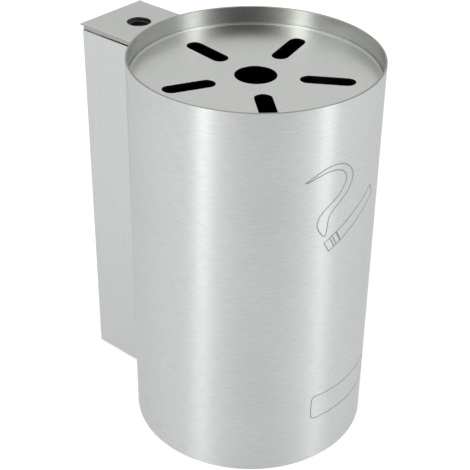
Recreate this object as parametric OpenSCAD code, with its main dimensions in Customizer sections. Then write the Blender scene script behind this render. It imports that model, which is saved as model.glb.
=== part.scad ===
// Wall-mounted ashtray bin. A steel tube with a perforated ash dish and a lift-out liner
// slides down over a wall rail, and a lock under the housing's cap keeps it there.
// Millimetres. +Z is up and +Y runs into the wall. The origin lies on the wall, midway
// between the two screw holes of the rail.

/* [Tube] */
// Outside diameter of the tube
tube_d = 120; // [100:1:160]
// Height of the tube
tube_h = 200; // [150:1:300]
// Sheet thickness of the tube
tube_t = 1; // [0.8:0.1:2]
// Sheet thickness of the tube's floor
base_t = 1.2; // [0.8:0.1:3]
// Depth of the floor's folded edge, which sets the floor up inside the tube
base_flange_h = 5; // [3:0.5:12]

/* [Housing] */
// Width of the housing over its side sheets
housing_w = 42; // [35:0.5:60]
// Free depth between the wall and the tube
housing_depth = 35; // [32:0.5:60]
// Sheet thickness of the side sheets and the cap
panel_t = 1; // [0.8:0.1:1.5]
// How far the cap's top lies below the rim
cap_drop = 4.5; // [2:0.1:15]
// Depth of the cap's folded lips below its sheet
cap_lip_h = 1.3; // [0.8:0.1:6]
// Distance from the wall to the start of the cap's lips
cap_lip_setback = 2; // [1.5:0.1:6]
// Gap between the cap's lips and the side sheets
cap_gap = 0.7; // [0.3:0.1:2]
// How far the housing ends above the tube's foot
housing_rise = 1.4; // [0.5:0.1:10]
// Width of the side sheets' inward folds at the wall, over the sheet
return_w = 6.5; // [5:0.1:8]
// Gap between the inward folds and the wall
back_gap = 0.9; // [0.6:0.1:2]

/* [Dish] */
// Sheet thickness of the dish
dish_t = 1; // [0.8:0.1:2]
// How far the dish's flat outer band lies below the rim
dish_drop = 8.8; // [6:0.1:30]
// How much lower the middle of the dish lies than its outer band
dish_sag = 1.2; // [0.5:0.1:8]
// Width of the flat outer band, out to the dish's edge
dish_band_w = 3.4; // [3:0.1:6]
// Height of the upturned edge above the band
dish_edge_h = 0.8; // [0.5:0.1:4]
// Gap between the dish and the tube
dish_clear = 0.3; // [0.3:0.1:1]
// Diameter of the centre hole
centre_hole_d = 20; // [12:0.5:24]
// Number of slots
slot_n = 5; // [3:1:6]
// Width of a slot
slot_w = 8.4; // [6:0.1:10]
// Distance from the dish's centre to the inner end of a slot
slot_inner_r = 20.7; // [18:0.1:24]
// Distance from the outer end of a slot to the dish's edge
slot_edge_gap = 12.1; // [10:0.1:20]
// Angle of the first slot, counted from the +X side
slot_first_a = 11.6; // [0:0.1:72]

/* [Liner] */
// Gap between the liner's wall and the tube
liner_clear = 2; // [1.5:0.1:5]
// Gap between the liner's folded rim and the tube
liner_rim_clear = 0.8; // [0.5:0.1:1.2]
// Sheet thickness of the liner
liner_t = 0.8; // [0.6:0.1:1.5]
// Height of the liner floor's upturned edge
liner_flange_h = 8; // [4:0.5:15]
// Diameter of a finger hole
finger_hole_d = 22; // [18:0.5:30]
// Distance from the liner's rim to the middle of a finger hole
finger_hole_drop = 20; // [18:0.5:40]

/* [Lock] */
// Distance from the wall to the lock's axis
lock_to_wall = 19.6; // [17:0.1:22]
// Diameter of the key hole in the cap
key_hole_d = 12; // [9:0.1:16]
// How far the lock's face lies below the cap's top
lock_face_drop = 1.8; // [1.6:0.1:6]
// Diameter of the barrel's head
barrel_head_d = 20; // [17:0.1:22]
// Thickness of the barrel's head
barrel_head_t = 2; // [1:0.1:4]
// Diameter of the barrel below its head
barrel_d = 14; // [12:0.1:15]
// Length of the barrel below its head
barrel_l = 16; // [14:0.1:24]
// Diameter of the recess that the key enters
recess_d = 9.6; // [9:0.1:11]
// Depth of that recess
recess_h = 7; // [5:0.1:9]
// Diameter of the core's stem
stem_d = 8; // [6:0.1:8.5]
// Height of the core's head at the floor of the recess
core_head_h = 2; // [1:0.1:3]
// Side of the three-sided drive
drive_side = 7; // [5:0.1:7.5]
// How far the drive ends below the barrel's face
drive_drop = 1; // [0.5:0.1:3]
// Side of the square that carries the cam
cam_square = 5.5; // [4:0.1:6]
// Bore of the cam screw in the core
cam_screw_d = 3; // [2:0.1:3.5]
// Depth of that bore
cam_screw_l = 8; // [5:0.1:12]
// Gap between the end of the cam screw and the end of its bore
screw_end_gap = 1; // [0.5:0.1:3]
// Gap between the barrel and the cam
cam_gap = 0.2; // [0.1:0.05:1]
// Width of the cam
cam_w = 12; // [10:0.1:14]
// Thickness of the cam
cam_t = 2.5; // [1.5:0.1:4]
// Diameter of the washer under the cam
cam_washer_d = 11; // [9:0.1:14]
// Thickness of that washer
cam_washer_t = 1; // [0.8:0.1:2]
// Diameter of the cam screw's head
cam_head_d = 7; // [5:0.1:9]
// Height of the cam screw's head
cam_head_h = 2.4; // [1.5:0.1:4]
// Nut size across flats
nut_af = 17; // [16:0.5:19]
// Height of the nut
nut_h = 4; // [3:0.1:6]
// Diameter of the washer under the nut
nut_washer_d = 20; // [18:0.1:22]
// Thickness of that washer
nut_washer_t = 1; // [0.5:0.1:2]
// Sheet thickness of the lock plate
lock_plate_t = 1.5; // [1:0.1:2.5]
// Depth of the lock plate's side folds, over the sheet
lock_plate_fold = 9; // [5:0.1:10]

/* [Rail] */
// Sheet thickness of the rail
rail_t = 1.5; // [1:0.1:2]
// How far the ears end short of the shelf and the keeper
ear_relief = 8; // [5:0.5:20]
// Reach of the keeper lip from the wall
keeper_reach = 10.5; // [9:0.1:11]
// Free height between the cam and the keeper lip
keeper_play = 1.2; // [0.5:0.1:3]
// Diameter of a wall screw hole
screw_hole_d = 6; // [4:0.1:8]
// How far the upper screw hole lies below the rim
screw_top_drop = 49; // [40:1:60]
// How far the lower screw hole lies above the tube's foot
screw_foot_rise = 31; // [20:1:50]
// Thickness of the rubber pads on the shelf
pad_t = 1; // [0.5:0.1:3]
// Length of a pad, out from the wall
pad_l = 9; // [6:0.5:20]

/* [Fits] */
// Sliding gap between the bin and the rail
slide_clear = 0.6; // [0.4:0.1:1]
// Gap around a turning part
spin_clear = 0.1; // [0.05:0.05:0.3]
// Gap between neighbours that don't touch
free_gap = 2; // [1:0.1:3]

/* [Hidden] */
$fn = 96;
// Room added to a cutting body so that it passes right through
cut = 1;

// Levels, from the rim down
screw_spacing = tube_h - screw_top_drop - screw_foot_rise;
rim_z = screw_spacing / 2 + screw_top_drop;
foot_z = rim_z - tube_h;
cap_z = rim_z - cap_drop;
panel_top_z = cap_z - panel_t - cap_lip_h - cap_gap;
housing_foot_z = foot_z + housing_rise;
shelf_z = housing_foot_z + rail_t;
return_foot_z = shelf_z + pad_t;
base_z = foot_z + base_flange_h;

// Tube
tube_r = tube_d / 2;
bore_r = tube_r - tube_t;
axis_y = -(housing_depth + tube_r);

// Dish, seated on the liner's rim
dish_band_z = rim_z - dish_drop;
dish_r = bore_r - dish_clear;
dish_bowl_r = dish_r - dish_band_w;
dish_steps = 8;
slot_outer_r = dish_r - slot_edge_gap;

// Liner, standing on the tube's floor
liner_top_z = dish_band_z - dish_t;
liner_r = bore_r - liner_clear;
liner_bore_r = liner_r - liner_t;
liner_rim_r = bore_r - liner_rim_clear;

// Housing
side_in = housing_w / 2 - panel_t;
return_in = housing_w / 2 - return_w;
return_y = -(back_gap + panel_t);

// Lock, stacked from the barrel's face down
barrel_z = cap_z - lock_face_drop;
lock_plate_z = barrel_z - barrel_head_t;
nut_washer_z = lock_plate_z - lock_plate_t;
nut_z = nut_washer_z - nut_washer_t;
barrel_foot_z = lock_plate_z - barrel_l;
cam_z = barrel_foot_z - cam_gap;
cam_foot_z = cam_z - cam_t;
cam_washer_foot_z = cam_foot_z - cam_washer_t;
recess_z = barrel_z - recess_h;
cam_reach = min(side_in, lock_to_wall - rail_t) - free_gap;
lock_y = -lock_to_wall;

// Rail
keeper_foot_z = cam_z + keeper_play;
keeper_z = keeper_foot_z + rail_t;
rail_side = return_in - slide_clear;
ear_tip = side_in - slide_clear;
ear_back_y = return_y - slide_clear;
ear_y = ear_back_y - rail_t;
ear_top_z = keeper_z - ear_relief;
ear_foot_z = shelf_z + ear_relief;
shelf_front_y = -(housing_depth - free_gap);

// A box between two corners
module block(low, high) {
    translate(low)
        cube(high - low);
}

// A ring or disc of outer radius r and bore b between two heights
module ring(r, b, low, high) {
    translate([0, 0, low])
        difference() {
            cylinder(r = r, h = high - low);
            if (b > 0)
                translate([0, 0, -cut])
                    cylinder(r = b, h = high - low + 2 * cut);
        }
}

// Places its children on the tube's axis
module on_tube() {
    translate([0, axis_y, 0])
        children();
}

// Places its children on the lock's axis
module on_lock() {
    translate([0, lock_y, 0])
        children();
}

// The space that the tube takes, for the sheets that butt against it
module tube_space() {
    on_tube()
        ring(tube_r, 0, foot_z - cut, rim_z + cut);
}

// Rolled and welded outer tube
module body_tube() {
    color("silver")
        on_tube()
            ring(tube_r, bore_r, foot_z, rim_z);
}

// Pressed floor with its edge folded down and welded into the tube
module base_plate() {
    color("silver")
        on_tube()
            difference() {
                ring(bore_r, 0, foot_z, base_z);
                ring(bore_r - base_t, 0, foot_z - cut, base_z - base_t);
            }
}

// Folded side sheet on the +X side: a web from the tube to the wall and an inward fold
// along the wall, cut short so that it stands on the shelf's pad
module side_sheet() {
    difference() {
        union() {
            block([side_in, axis_y, housing_foot_z], [housing_w / 2, -back_gap, panel_top_z]);
            block([return_in, return_y, return_foot_z], [side_in, -back_gap, panel_top_z]);
        }
        tube_space();
    }
}

module housing_side_right() {
    color("lightgray")
        side_sheet();
}

module housing_side_left() {
    color("lightgray")
        mirror([1, 0, 0])
            side_sheet();
}

// Top sheet of the housing, with folded side lips and the key hole
module housing_cap() {
    color("lightgray")
        difference() {
            union() {
                block([-housing_w / 2, axis_y, cap_z - panel_t], [housing_w / 2, 0, cap_z]);
                for (side = [0, 1])
                    mirror([side, 0, 0])
                        block([side_in, axis_y, cap_z - panel_t - cap_lip_h],
                              [housing_w / 2, -cap_lip_setback, cap_z - panel_t]);
            }
            tube_space();
            on_lock()
                ring(key_hole_d / 2, 0, cap_z - panel_t - cut, cap_z + cut);
        }
}

// Folded plate welded between the side sheets, which carries the lock
module lock_plate() {
    front_y = -(housing_depth - free_gap);
    back_y = return_y - free_gap;
    color("darkgray")
        difference() {
            block([-side_in, front_y, lock_plate_z - lock_plate_fold],
                  [side_in, back_y, lock_plate_z]);
            block([-side_in + lock_plate_t, front_y - cut, lock_plate_z - lock_plate_fold - cut],
                  [side_in - lock_plate_t, back_y + cut, lock_plate_z - lock_plate_t]);
            on_lock()
                ring(barrel_d / 2, 0, lock_plate_z - lock_plate_fold, lock_plate_z + cut);
        }
}

// Lock body with a head, a key recess and a bore for the core
module lock_barrel() {
    color("dimgray")
        on_lock()
            difference() {
                union() {
                    ring(barrel_head_d / 2, 0, lock_plate_z, barrel_z);
                    ring(barrel_d / 2, 0, barrel_foot_z, lock_plate_z);
                }
                ring(recess_d / 2, 0, recess_z, barrel_z + cut);
                ring(stem_d / 2 + spin_clear, 0, barrel_foot_z - cut, recess_z + cut);
            }
}

module lock_washer() {
    color("gray")
        on_lock()
            ring(nut_washer_d / 2, barrel_d / 2, nut_z, nut_washer_z);
}

module lock_nut() {
    color("gray")
        on_lock()
            difference() {
                translate([0, 0, nut_z - nut_h])
                    cylinder(d = nut_af / cos(30), h = nut_h, $fn = 6);
                ring(barrel_d / 2, 0, nut_z - nut_h - cut, nut_z + cut);
            }
}

// Turning core: three-sided drive, head, stem, square end and the screw's bore
module lock_core() {
    drive_r = drive_side / sqrt(3);
    drive_foot_z = recess_z + core_head_h;
    color("dimgray")
        on_lock()
            difference() {
                union() {
                    translate([0, 0, drive_foot_z])
                        cylinder(r = drive_r, h = barrel_z - drive_drop - drive_foot_z, $fn = 3);
                    ring(recess_d / 2 - spin_clear, 0, recess_z, drive_foot_z);
                    ring(stem_d / 2, 0, cam_z, recess_z);
                    block([-cam_square / 2, -cam_square / 2, cam_foot_z],
                          [cam_square / 2, cam_square / 2, cam_z]);
                }
                ring(cam_screw_d / 2, 0, cam_foot_z - cut, cam_foot_z + cam_screw_l);
            }
}

// Tongue that points to +X while unlocked and to the wall while locked
module lock_cam() {
    tip_x = cam_reach - cam_w / 2;
    color("gray")
        on_lock()
            difference() {
                union() {
                    ring(cam_w / 2, 0, cam_foot_z, cam_z);
                    block([0, -cam_w / 2, cam_foot_z], [tip_x, cam_w / 2, cam_z]);
                    translate([tip_x, 0, 0])
                        ring(cam_w / 2, 0, cam_foot_z, cam_z);
                }
                block([-cam_square / 2, -cam_square / 2, cam_foot_z - cut],
                      [cam_square / 2, cam_square / 2, cam_z + cut]);
            }
}

module cam_washer() {
    color("gray")
        on_lock()
            ring(cam_washer_d / 2, cam_screw_d / 2, cam_washer_foot_z, cam_foot_z);
}

// Pan-head screw up into the core, with a plain cross slot in its head
module cam_screw() {
    slot_depth = cam_head_h / 2;
    slot_t = cam_head_d / 6;
    head_foot_z = cam_washer_foot_z - cam_head_h;
    color("gray")
        on_lock()
            difference() {
                union() {
                    ring(cam_head_d / 2, 0, head_foot_z, cam_washer_foot_z);
                    ring(cam_screw_d / 2, 0, cam_washer_foot_z, cam_foot_z + cam_screw_l - screw_end_gap);
                }
                for (turn = [0, 90])
                    rotate([0, 0, turn])
                        block([-cam_head_d, -slot_t / 2, head_foot_z - cut],
                              [cam_head_d, slot_t / 2, head_foot_z + slot_depth]);
            }
}

// Rolled wall of the lift-out liner, with an outward folded rim and two finger holes
module liner_wall() {
    color("gainsboro")
        on_tube()
            difference() {
                union() {
                    ring(liner_r, liner_bore_r, base_z, liner_top_z);
                    ring(liner_rim_r, liner_bore_r, liner_top_z - liner_t, liner_top_z);
                }
                translate([0, 0, liner_top_z - finger_hole_drop])
                    rotate([0, 90, 0])
                        cylinder(d = finger_hole_d, h = 2 * tube_d, center = true);
            }
}

// Pressed floor of the liner, with its edge folded up and welded into the wall
module liner_floor() {
    color("gainsboro")
        on_tube()
            difference() {
                ring(liner_bore_r, 0, base_z, base_z + liner_flange_h);
                ring(liner_bore_r - liner_t, 0, base_z + liner_t, base_z + liner_flange_h + cut);
            }
}

// Profile of the dish, from its axis to its upturned edge. The bowl is a parabola.
function bowl_z(r) = dish_sag * (pow(r / dish_bowl_r, 2) - 1);
function bowl_points(drop) =
    [for (i = [0 : dish_steps]) let (r = dish_bowl_r * i / dish_steps) [r, bowl_z(r) - drop]];
function backwards(list) = [for (i = [len(list) - 1 : -1 : 0]) list[i]];

// A slot with round ends, along +X
module slot_cut() {
    low = -dish_sag - dish_t - cut;
    high = dish_edge_h + cut;
    in_x = slot_inner_r + slot_w / 2;
    out_x = slot_outer_r - slot_w / 2;
    block([in_x, -slot_w / 2, low], [out_x, slot_w / 2, high]);
    for (x = [in_x, out_x])
        translate([x, 0, 0])
            ring(slot_w / 2, 0, low, high);
}

// Shallow pressed dish with slots, a centre hole and an upturned edge
module ash_dish() {
    color("whitesmoke")
        translate([0, axis_y, dish_band_z])
            difference() {
                rotate_extrude()
                    polygon(concat(
                        bowl_points(0),
                        [[dish_r - dish_t, 0], [dish_r - dish_t, dish_edge_h]],
                        [[dish_r, dish_edge_h], [dish_r, -dish_t]],
                        backwards(bowl_points(dish_t))));
                ring(centre_hole_d / 2, 0, -dish_sag - dish_t - cut, cut);
                for (i = [0 : slot_n - 1])
                    rotate([0, 0, slot_first_a + i * 360 / slot_n])
                        slot_cut();
            }
}

// Folded top-hat rail: a web on the wall, two ears that the housing's folds slide behind,
// a keeper lip at the top and a shelf at the bottom
module wall_rail() {
    color("darkgray")
        difference() {
            union() {
                block([-rail_side, -rail_t, housing_foot_z], [rail_side, 0, keeper_z]);
                block([-rail_side, -keeper_reach, keeper_foot_z], [rail_side, 0, keeper_z]);
                block([-ear_tip, shelf_front_y, housing_foot_z], [ear_tip, -rail_t, shelf_z]);
                for (side = [0, 1])
                    mirror([side, 0, 0]) {
                        block([rail_side - rail_t, ear_y, ear_foot_z],
                              [rail_side, -rail_t, ear_top_z]);
                        block([rail_side - rail_t, ear_y, ear_foot_z],
                              [ear_tip, ear_back_y, ear_top_z]);
                    }
            }
            for (z = [-screw_spacing / 2, screw_spacing / 2])
                translate([0, 0, z])
                    rotate([90, 0, 0])
                        cylinder(d = screw_hole_d, h = 4 * rail_t, center = true);
        }
}

// Two rubber pads on the shelf, under the side sheets' inward folds
module shelf_pads() {
    color("black")
        for (side = [0, 1])
            mirror([side, 0, 0])
                block([return_in, -rail_t - pad_l, shelf_z], [ear_tip, -rail_t, return_foot_z]);
}

body_tube();
base_plate();
housing_side_left();
housing_side_right();
housing_cap();
lock_plate();
lock_barrel();
lock_washer();
lock_nut();
lock_core();
lock_cam();
cam_washer();
cam_screw();
liner_wall();
liner_floor();
ash_dish();
wall_rail();
shelf_pads();
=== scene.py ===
# %% [markdown]
# # A wall-mounted ashtray bin in stainless steel
# The object is a rolled steel tube with a pressed ash dish near its rim. A folded housing
# joins the tube to the wall, and a lock sits under the key hole in the housing's cap.
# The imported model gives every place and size. This lesson builds finer meshes around it:
# sheets with real thickness, rounded cut edges and folds with a radius. It then gives each
# of them a metal that is made from nodes.

# %% Load the frame
import math

import bmesh
import bpy
from mathutils import Matrix, Vector, kdtree
from mathutils.geometry import delaunay_2d_cdt


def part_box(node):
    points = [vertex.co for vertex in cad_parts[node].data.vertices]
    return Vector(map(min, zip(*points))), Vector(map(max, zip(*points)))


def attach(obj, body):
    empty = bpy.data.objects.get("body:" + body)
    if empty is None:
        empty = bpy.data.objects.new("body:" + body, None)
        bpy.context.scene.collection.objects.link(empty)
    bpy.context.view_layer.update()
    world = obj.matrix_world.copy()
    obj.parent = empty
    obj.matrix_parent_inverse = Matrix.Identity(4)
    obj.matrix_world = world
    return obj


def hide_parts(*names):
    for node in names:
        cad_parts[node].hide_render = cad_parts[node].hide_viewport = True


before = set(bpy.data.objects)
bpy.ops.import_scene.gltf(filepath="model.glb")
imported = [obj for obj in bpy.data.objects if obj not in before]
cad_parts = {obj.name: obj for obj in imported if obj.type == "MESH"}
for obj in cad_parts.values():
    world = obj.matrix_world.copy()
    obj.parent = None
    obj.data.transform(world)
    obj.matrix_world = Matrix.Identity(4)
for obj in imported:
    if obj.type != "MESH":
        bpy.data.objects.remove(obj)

MM = 0.001
TENTHS, HUNDREDTHS = 4, 5  # decimal places of a metre that keep a tenth and a hundredth of a mm
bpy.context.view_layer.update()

# %% [markdown]
# Everything lines up with the tube, so its axis, radii and levels come first. They are
# read from the frame's own nodes, and nothing is typed twice.

# %% Measure the tube
def radii(node, axis_x, axis_y):
    """The smallest and largest distance of a node's points from a vertical axis."""
    points = [v.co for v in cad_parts[node].data.vertices]
    distances = [math.hypot(point.x - axis_x, point.y - axis_y) for point in points]
    return min(distances), max(distances)


tube_low, tube_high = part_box("body_tube")
AXIS_Y = round((tube_low.y + tube_high.y) / 2, TENTHS)
FOOT, RIM = tube_low.z, tube_high.z
BORE_R, TUBE_R = (round(r, HUNDREDTHS) for r in radii("body_tube", 0, AXIS_Y))
print(f"tube radius {TUBE_R / MM:.1f} mm, bore radius {BORE_R / MM:.1f} mm")
print(f"the tube's axis is {-AXIS_Y / MM:.1f} mm from the wall")

# %% [markdown]
# The camera looks down at the rim from the front left, about 32 degrees above the level.
# A long lens from 0.6 m keeps the tube's sides nearly parallel. The camera is placed from
# a turn, a tilt and a distance, the way a photographer would set a tripod.

# %% Place the camera
CAMERA_TURN = math.radians(-49.8)
CAMERA_TILT = math.radians(32.4)
CAMERA_ROLL = math.radians(0.84)
CAMERA_DISTANCE = 601.2 * MM
CAMERA_SLIDE = Vector((-8.5, 2.2)) * MM
CAMERA_LENS = 91.5
CAMERA_DROP = 100.4 * MM
CAMERA_SENSOR = 36.0
CAMERA_NEAR = 10 * MM  # nothing nearer than this is drawn


def aim_camera(target):
    """Adds the camera at its turn, tilt and distance from the target."""
    back = Vector((
        math.sin(CAMERA_TURN) * math.cos(CAMERA_TILT),
        -math.cos(CAMERA_TURN) * math.cos(CAMERA_TILT),
        math.sin(CAMERA_TILT),
    ))
    level = Vector((math.cos(CAMERA_TURN), math.sin(CAMERA_TURN), 0))
    across = level * math.cos(CAMERA_ROLL) + back.cross(level) * math.sin(CAMERA_ROLL)
    upward = back.cross(across)
    place = target + back * CAMERA_DISTANCE + across * CAMERA_SLIDE.x + upward * CAMERA_SLIDE.y
    data = bpy.data.cameras.new("studio_camera")
    data.lens = CAMERA_LENS
    data.sensor_width = CAMERA_SENSOR
    data.clip_start = CAMERA_NEAR
    camera = bpy.data.objects.new("studio_camera", data)
    turned_to = Matrix((across, upward, back)).transposed().to_4x4()
    camera.matrix_world = Matrix.Translation(place) @ turned_to
    bpy.context.scene.collection.objects.link(camera)
    return camera


bpy.context.scene.camera = aim_camera(Vector((0, AXIS_Y, RIM - CAMERA_DROP)))
print("camera at", [round(v, 3) for v in bpy.context.scene.camera.location])

# %% [markdown]
# ## Node helpers
# Materials and the studio are node trees. One function adds a node, sets its properties
# and joins its inputs, and another starts an empty material. Colours are written as the
# sRGB hex values that a painter would pick, and one function turns them linear, as Blender
# needs.

# %% Add nodes and colours
def add(tree, kind, settings=None, **inputs):
    """Adds a node. An input is named, or is i and a number, and takes a value or a socket."""
    node = tree.nodes.new(kind)
    for name, value in (settings or {}).items():
        setattr(node, name, value)
    for name, value in inputs.items():
        key = int(name[1:]) if name[1:].isdigit() else name.replace("_", " ")
        if isinstance(value, bpy.types.NodeSocket):
            tree.links.new(value, node.inputs[key])
        else:
            node.inputs[key].default_value = value
    return node


def new_material(name):
    """A material with an empty node tree, and that tree."""
    material = bpy.data.materials.new(name)
    material.use_nodes = True
    material.node_tree.nodes.clear()
    return material, material.node_tree


def linear(code):
    """An sRGB hex colour as linear red, green, blue and full alpha. The curve is sRGB's own."""
    shares = [int(code[i:i + 2], 16) / 255 for i in (1, 3, 5)]
    bright = [c / 12.92 if c <= 0.04045 else ((c + 0.055) / 1.055) ** 2.4 for c in shares]
    return (*bright, 1.0)


print("mid grey is", round(linear("#808080")[0], 3), "in linear light")

# %% [markdown]
# ## The studio
# Bright metal shows its surroundings more than itself. A product studio is a white tent
# with a dark doorway where the camera stands, and here with one brighter panel too. The
# tent is the world. The doorway and the panel are round patches of directions. Each comes
# from a direction's dot product with the middle of the patch, which gives it a soft edge.

# %% Build the studio
TENT_WHITE = 1.0
PATCHES = {
    # name: (azimuth from +X, elevation, half width and softness in degrees, added light)
    "doorway": (-129, 34, 28, 8, -0.97),
    "left_panel": (140, 36, 13, 12, 0.45),
}


def toward(azimuth, elevation):
    """The direction at an azimuth from +X and an elevation, both in degrees."""
    turn, lift = math.radians(azimuth), math.radians(elevation)
    level = math.cos(lift)
    return Vector((math.cos(turn) * level, math.sin(turn) * level, math.sin(lift)))


def patch(tree, direction, azimuth, elevation, half_width, softness):
    """A smooth round patch of directions, from 0 outside to 1 inside."""
    nearness = add(tree, "ShaderNodeVectorMath", {"operation": "DOT_PRODUCT"},
                   i0=direction, i1=toward(azimuth, elevation))
    edge = add(tree, "ShaderNodeMapRange", {"interpolation_type": "SMOOTHSTEP"},
               i0=nearness.outputs["Value"],
               i1=math.cos(math.radians(half_width + softness)),
               i2=math.cos(math.radians(max(0, half_width - softness))))
    return edge.outputs[0]


def build_studio():
    """A white tent as the world, with its dark doorway and its brighter panel."""
    world = bpy.data.worlds.new("studio tent")
    bpy.context.scene.world = world
    world.use_nodes = True
    tree = world.node_tree
    tree.nodes.clear()
    direction = add(tree, "ShaderNodeTexCoord").outputs["Generated"]
    light = TENT_WHITE
    for azimuth, elevation, half_width, softness, change in PATCHES.values():
        share = patch(tree, direction, azimuth, elevation, half_width, softness)
        light = add(tree, "ShaderNodeMath", {"operation": "MULTIPLY_ADD"},
                    i0=share, i1=change, i2=light).outputs[0]
    glow = add(tree, "ShaderNodeBackground", Strength=light)
    add(tree, "ShaderNodeOutputWorld", Surface=glow.outputs[0])
    print("studio tent with", len(PATCHES), "patches")


build_studio()

# %% [markdown]
# A tall narrow soft box stands on either side of the tube. Curved metal draws each one out
# into a bright upright band, and those bands tell the eye that the tube is round. A wide,
# weak lamp overhead softens the shadow at the foot. The floor is large enough to fill the
# view from any side. Its paper also glows, as a light table does, so that the shadow on it
# stays pale.

# %% Floor and lamps
FLOOR_SIZE = 8.0
PAPER = "#A8A8A8"
PAPER_GLOW = 0.79
LAMPS = {
    # name: (azimuth, elevation, distance, width, height, power)
    "overhead_box": (0, 90, 2.0, 2.4, 2.4, 3.0),
    "left_strip": (177.5, 26, 1.5, 0.26, 1.7, 5.5),
    "right_strip": (-79, 26, 1.5, 0.26, 1.7, 4.8),
}


def add_lamp(name, azimuth, elevation, distance, width, height, power):
    """A rectangular soft box that faces the tube."""
    outward = toward(azimuth, elevation)
    data = bpy.data.lights.new(name, "AREA")
    data.shape = "RECTANGLE"
    data.size, data.size_y = width, height
    data.energy = power
    lamp = bpy.data.objects.new(name, data)
    lamp.location = Vector((0, AXIS_Y, 0)) + outward * distance
    lamp.rotation_euler = outward.to_track_quat("Z", "Y").to_euler()
    bpy.context.scene.collection.objects.link(lamp)


def add_floor():
    """A large pale floor under the tube's foot."""
    half = FLOOR_SIZE / 2
    mesh = bpy.data.meshes.new("studio_floor")
    corners = [(-half, -half, FOOT), (half, -half, FOOT), (half, half, FOOT), (-half, half, FOOT)]
    mesh.from_pydata(corners, [], [(0, 1, 2, 3)])
    floor = bpy.data.objects.new("studio_floor", mesh)
    bpy.context.scene.collection.objects.link(floor)
    material, tree = new_material("studio paper")
    paper = add(tree, "ShaderNodeBsdfDiffuse", Color=linear(PAPER), Roughness=1.0)
    light_below = add(tree, "ShaderNodeEmission", Color=linear("#FFFFFF"), Strength=PAPER_GLOW)
    shader = add(tree, "ShaderNodeAddShader", i0=paper.outputs[0], i1=light_below.outputs[0])
    add(tree, "ShaderNodeOutputMaterial", Surface=shader.outputs[0])
    mesh.materials.append(material)


add_floor()
for lamp_name, setting in LAMPS.items():
    add_lamp(lamp_name, *setting)
bpy.context.scene.view_settings.view_transform = "Standard"
print("lamps:", ", ".join(LAMPS))

# %% [markdown]
# ## Steel
# Almost every piece is stainless 304, and what differs is how its surface was made. A belt
# leaves long fine scratches, so light spreads across them far more than along them. A cold
# rolled face is smoother and even. A sheared edge is rough. All of them come from one
# recipe: streaks that are long in the grain's direction and narrow across it, a slow
# blotchiness from handling, and a bump from the same streaks. The grain follows a map in
# real metres that each mesh carries, so its scale stays right on every piece.
# A 180 grit belt leaves scratches under 0.1 mm wide, too fine to show here. The streaks are
# drawn 0.4 to 1.6 mm wide instead, and kept faint. Their roughness varies least on the cold
# rolled and the pressed faces, where the real surface is the most even.

# %% The steel recipe
GLANCING = "#E4E4E4"  # steel reflects a little less just before the grazing angle
BLOTCH_SIZE = 35 * MM
ACROSS_GRAIN = 0.25  # of a turn, so that the highlight stretches across the scratches


def steel(name, light, dark, roughness, grain, streaks, blotches=0.04, relief=0.004,
          anisotropy=0.0):
    """A metal with streaks. grain is their length and width, and relief their depth, in mm.
    streaks and blotches are how far the roughness swings with each of them."""
    material, tree = new_material(name)
    place = add(tree, "ShaderNodeUVMap", {"uv_map": "grain"}).outputs[0]
    length, width = (1 / (size * MM) for size in grain)
    stretched = add(tree, "ShaderNodeVectorMath", {"operation": "MULTIPLY"},
                    i0=place, i1=(length, width, 1))
    fine = add(tree, "ShaderNodeTexNoise", Vector=stretched.outputs[0],
               Scale=1.0, Detail=4.0, Roughness=0.65)
    spot = add(tree, "ShaderNodeTexCoord").outputs["Object"]
    slow = add(tree, "ShaderNodeTexNoise", Vector=spot, Scale=1 / BLOTCH_SIZE,
               Detail=2.0, Roughness=0.5)
    rough = add(tree, "ShaderNodeMath", {"operation": "MULTIPLY_ADD"},
                i0=fine.outputs[0], i1=2 * streaks, i2=roughness - streaks - blotches)
    rougher = add(tree, "ShaderNodeMath", {"operation": "MULTIPLY_ADD"},
                  i0=slow.outputs[0], i1=2 * blotches, i2=rough.outputs[0])
    tint = add(tree, "ShaderNodeMix", {"data_type": "RGBA"},
               i0=fine.outputs[0], i6=linear(dark), i7=linear(light))
    bump = add(tree, "ShaderNodeBump", Strength=1.0, Distance=relief * MM, Height=fine.outputs[0])
    shader = add(tree, "ShaderNodeBsdfPrincipled", Base_Color=tint.outputs[2], Metallic=1.0,
                 Roughness=rougher.outputs[0], Anisotropic=anisotropy, Normal=bump.outputs[0],
                 Specular_Tint=linear(GLANCING))
    if anisotropy:
        along = add(tree, "ShaderNodeTangent", {"direction_type": "UV_MAP", "uv_map": "grain"})
        tree.links.new(along.outputs[0], shader.inputs["Tangent"])
        shader.inputs["Anisotropic Rotation"].default_value = ACROSS_GRAIN
    add(tree, "ShaderNodeOutputMaterial", Surface=shader.outputs[0])
    return material


print("blotches are about", round(BLOTCH_SIZE / MM), "mm across")

# %% [markdown]
# Seven finishes come from that one recipe. The first colour is a streak's, the second is
# the dull metal's between streaks, and the number after them is the roughness.

# %% Stainless finishes
# Belt brushed round the girth: lamps stretch into soft upright bands.
BRUSHED = steel("brushed stainless 304", "#DBDEDC", "#BBBEBC", 0.40, grain=(6, 1.1),
                streaks=0.05, anisotropy=0.88)
# Satin from a fine belt: a calm, light grey with a faint short grain.
SATIN = steel("satin stainless 304, short grain", "#D7D9D7", "#C9CBC9", 0.32, grain=(8, 0.4),
              streaks=0.05)
# Cold rolled between polished rolls: cloudy reflections and no clear grain.
MILL = steel("cold rolled stainless 304, 2B", "#D4D5D1", "#B0B1AD", 0.292, grain=(14, 1.2),
             streaks=0.01, blotches=0.01)
# Pressed from satin sheet: the stretched skin looks milky and even.
PRESSED = steel("pressed stainless 304, satin", "#DFE1DE", "#CFD1CE", 0.292, grain=(9, 1.6),
                streaks=0.01, blotches=0.01, relief=0.002)
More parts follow.
